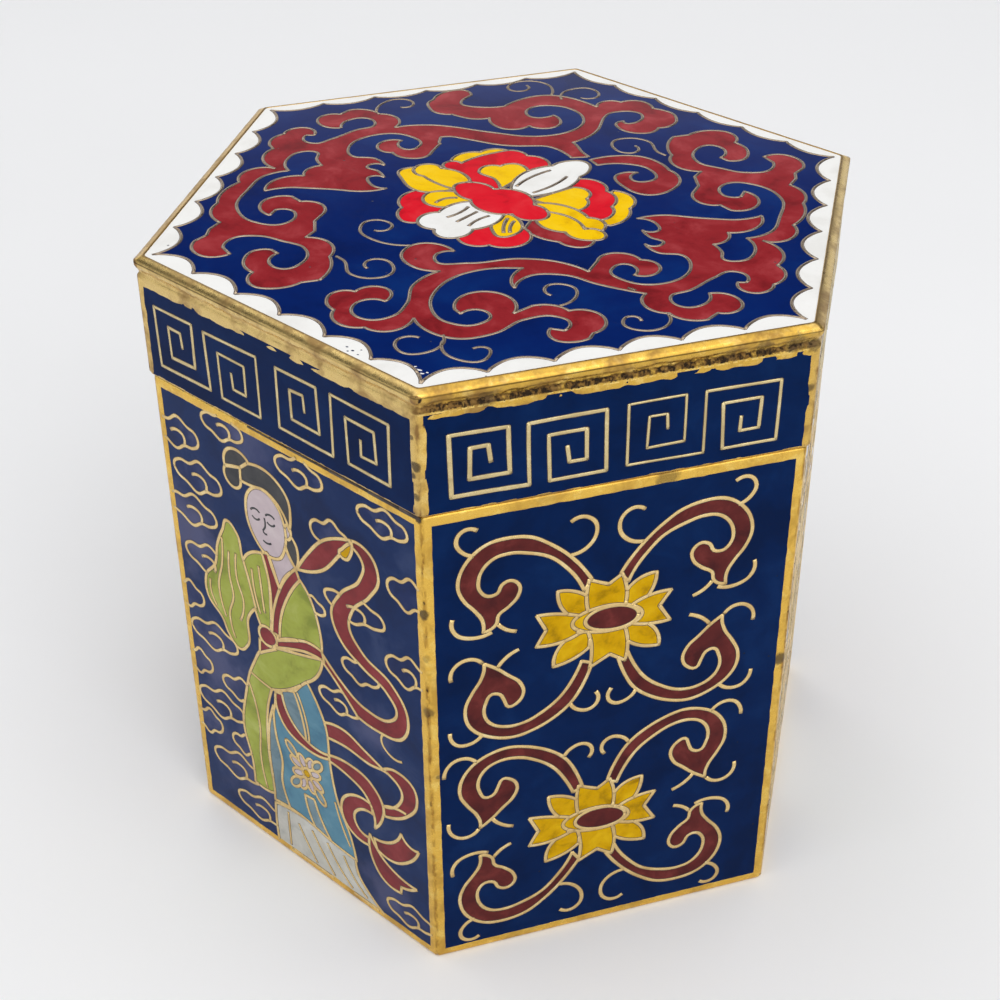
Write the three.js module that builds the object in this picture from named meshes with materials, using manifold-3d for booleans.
// A hexagonal cloisonne enamel box with a lift-off lid, in millimetres, +Z up.
// The origin is the centre of the underside. Face 1 looks along -Y, and the others follow counter-clockwise
// seen from above, so two corners of the plan lie on the X axis.
//
// Body and lid are gilt brass shells. On every face the brass stands up as a narrow frame round a sunk field,
// and a plate of enamel is fused into each field, flush with its frame. A brass lip inside the mouth of the
// body stands up into the lid and keeps it in place. The lid only rests on the rim of the body.
import * as THREE from "three";
import { mergeVertices } from "three/addons/utils/BufferGeometryUtils.js";
import Module from "manifold-3d";

const wasm = await Module();
wasm.setup();

// Plan and heights
const FACES = 6;
const LID_SIDE = 33.0; // one side of the lid's plan, measured on the skirt
const BODY_HEIGHT = 49.8; // underside to the rim that carries the lid
const LID_HEIGHT = 11.4; // rim of the body to the top of the lid
const LID_CLEARANCE = 0.3; // play between the lip and the inside of the skirt, on each face

// Sheet and enamel
const ENAMEL_DEPTH = 0.7; // how deep the fields are sunk
const ENAMEL_GAP = 0.1; // between a plate of enamel and the brass behind and around it
const BACKING = 0.8; // brass sheet behind the enamel
const FLOOR_THICKNESS = 0.9;
const LIP_THICKNESS = 0.7;
const LIP_HEIGHT = 5.0; // how far the lip stands up into the lid
const LIP_OVERLAP = 6.0; // how far it reaches down inside the body

// Brass frames round the fields
const CORNER_STRIP = 1.15; // width on each face beside a corner
const BODY_TOP_RAIL = 1.1;
const BODY_FOOT_RAIL = 0.95;
const SKIRT_TOP_RAIL = 1.05;
const SKIRT_EDGE = 0.35; // thin lower edge of the skirt
const TOP_PLATE_EDGE = 1.3; // height of the top plate's own edge, above the skirt's rail
const TOP_PLATE_PROUD = 0.15; // how far that edge stands out past the skirt
const TOP_PLATE_FRAME = 0.75; // width of the brass seen from above, round the top field
const UNDERSIDE_FRAME = 1.6; // width of the brass that the box stands on
const UNDERSIDE_SETBACK = 0.3; // the enamel underneath is kept clear of the table
const EDGE_CHAMFER = 0.25;

// Distances from the axis to a flat face, and levels, worked out from the sizes above
const wall = ENAMEL_DEPTH + BACKING;
const flatToCorner = 1 / Math.cos(Math.PI / FACES);
const lidOuter = LID_SIDE / flatToCorner;
const lidInner = lidOuter - wall;
const topPlateOuter = lidOuter + TOP_PLATE_PROUD;
const topField = lidOuter - TOP_PLATE_FRAME;
const bodyOuter = lidOuter - LID_CLEARANCE;
const bodyInner = bodyOuter - wall;
const lipInner = bodyInner - LIP_THICKNESS;
const undersideField = bodyOuter - UNDERSIDE_FRAME;
const bodySide = bodyOuter * flatToCorner;
const lidTop = BODY_HEIGHT + LID_HEIGHT;
const skirtTop = lidTop - TOP_PLATE_EDGE;
const topFieldFloor = lidTop - ENAMEL_DEPTH;
const ceiling = topFieldFloor - BACKING;
const floorUnder = UNDERSIDE_SETBACK + ENAMEL_DEPTH;
const floorTop = floorUnder + FLOOR_THICKNESS;

const giltBrass = new THREE.MeshStandardMaterial({ color: 0xc9973f, roughness: 0.3, metalness: 1.0 });
const blueEnamel = new THREE.MeshStandardMaterial({ color: 0x0b1f57, roughness: 0.15, metalness: 0.0 });
const turquoiseEnamel = new THREE.MeshStandardMaterial({ color: 0x2f8f9c, roughness: 0.2, metalness: 0.0 });

// A hexagonal solid from a profile of [distance to a flat face, height] points that runs counter-clockwise,
// out from the axis and back to it.
function hexagonal(profile) {
  const points = profile.map(([flat, z]) => new THREE.Vector2(flat * flatToCorner, z));
  const geometry = new THREE.LatheGeometry(points, FACES, Math.PI / FACES);
  return geometry.rotateX(Math.PI / 2);
}

// A closed geometry as a solid that can be cut.
function solidOf(geometry) {
  const bare = new THREE.BufferGeometry();
  const loose = geometry.index ? geometry.toNonIndexed() : geometry;
  bare.setAttribute("position", loose.getAttribute("position"));
  const merged = mergeVertices(bare, 1e-4);
  const mesh = new wasm.Mesh({
    numProp: 3,
    vertProperties: merged.getAttribute("position").array,
    triVerts: new Uint32Array(merged.index.array),
  });
  return new wasm.Manifold(mesh);
}

function geometryOf(solid) {
  const mesh = solid.getMesh();
  const geometry = new THREE.BufferGeometry();
  geometry.setAttribute("position", new THREE.BufferAttribute(mesh.vertProperties, 3));
  geometry.setIndex(new THREE.BufferAttribute(mesh.triVerts, 1));
  geometry.computeVertexNormals();
  return geometry;
}

// A block that stands on face number `face`: `flat` is the distance from the axis to its outer side.
function blockOnFace(face, width, depth, low, high, flat) {
  const block = new THREE.BoxGeometry(width, depth, high - low);
  block.translate(0, depth / 2 - flat, (low + high) / 2);
  return block.rotateZ((face * 2 * Math.PI) / FACES);
}

// The sunk field of each face, cut into a shell from outside.
function cutFields(shell, fieldWidth, low, high, flat) {
  const overshoot = 1;
  let cut = shell;
  for (let face = 0; face < FACES; face++) {
    const depth = ENAMEL_DEPTH + overshoot;
    const field = blockOnFace(face, fieldWidth, depth, low, high, flat + overshoot);
    cut = cut.subtract(solidOf(field));
  }
  return cut;
}

function part(name, geometry, material) {
  const mesh = new THREE.Mesh(geometry, material);
  mesh.name = name;
  return mesh;
}

// One plate of enamel for each face, in its field with the gap all round.
function facePlates(name, fieldWidth, low, high, flat) {
  const plates = new THREE.Group();
  for (let face = 0; face < FACES; face++) {
    const turned = new THREE.Group();
    const depth = ENAMEL_DEPTH - ENAMEL_GAP;
    const height = high - low - 2 * ENAMEL_GAP;
    const plate = part(
      `${name}_${face + 1}`,
      new THREE.BoxGeometry(fieldWidth - 2 * ENAMEL_GAP, depth, height),
      blueEnamel,
    );
    plate.position.set(0, depth / 2 - flat, (low + high) / 2);
    turned.rotation.z = (face * 2 * Math.PI) / FACES;
    turned.add(plate);
    plates.add(turned);
  }
  return plates;
}

function hexagonalPlate(name, flat, low, high, material) {
  const profile = [[0, low], [flat, low], [flat, high], [0, high]];
  return part(name, hexagonal(profile), material);
}

// The body: a hexagonal vessel with a sunk underside, six sunk fields and the lip in its mouth.
function boxBody() {
  const shell = hexagonal([
    [0, floorUnder],
    [undersideField, floorUnder],
    [undersideField, 0],
    [bodyOuter - EDGE_CHAMFER, 0],
    [bodyOuter, EDGE_CHAMFER],
    [bodyOuter, BODY_HEIGHT - EDGE_CHAMFER],
    [bodyOuter - EDGE_CHAMFER, BODY_HEIGHT],
    [bodyInner, BODY_HEIGHT],
    [bodyInner, BODY_HEIGHT + LIP_HEIGHT],
    [lipInner, BODY_HEIGHT + LIP_HEIGHT],
    [lipInner, BODY_HEIGHT - LIP_OVERLAP],
    [bodyInner, BODY_HEIGHT - LIP_OVERLAP],
    [bodyInner, floorTop],
    [0, floorTop],
  ]);
  const fieldWidth = bodySide - 2 * CORNER_STRIP;
  const low = BODY_FOOT_RAIL;
  const high = BODY_HEIGHT - BODY_TOP_RAIL;
  const body = new THREE.Group();
  body.add(part("box_body", geometryOf(cutFields(solidOf(shell), fieldWidth, low, high, bodyOuter)), giltBrass));
  body.add(facePlates("side_enamel", fieldWidth, low, high, bodyOuter));
  body.add(
    hexagonalPlate(
      "underside_enamel",
      undersideField - ENAMEL_GAP,
      UNDERSIDE_SETBACK,
      floorUnder - ENAMEL_GAP,
      turquoiseEnamel,
    ),
  );
  return body;
}

// The lid: a top plate with its own edge, soldered on a skirt that is as thick as the wall of the body.
function lid() {
  const shell = hexagonal([
    [0, ceiling],
    [lidInner, ceiling],
    [lidInner, BODY_HEIGHT],
    [lidOuter, BODY_HEIGHT],
    [lidOuter, skirtTop],
    [topPlateOuter, skirtTop],
    [topPlateOuter, lidTop - EDGE_CHAMFER],
    [topPlateOuter - EDGE_CHAMFER, lidTop],
    [topField, lidTop],
    [topField, topFieldFloor],
    [0, topFieldFloor],
  ]);
  const fieldWidth = LID_SIDE - 2 * CORNER_STRIP;
  const low = BODY_HEIGHT + SKIRT_EDGE;
  const high = skirtTop - SKIRT_TOP_RAIL;
  const cover = new THREE.Group();
  cover.add(part("lid", geometryOf(cutFields(solidOf(shell), fieldWidth, low, high, lidOuter)), giltBrass));
  cover.add(facePlates("skirt_enamel", fieldWidth, low, high, lidOuter));
  cover.add(
    hexagonalPlate("lid_top_enamel", topField - ENAMEL_GAP, topFieldFloor + ENAMEL_GAP, lidTop, blueEnamel),
  );
  return cover;
}

const box = new THREE.Group();
box.add(boxBody());
box.add(lid());

export default box;
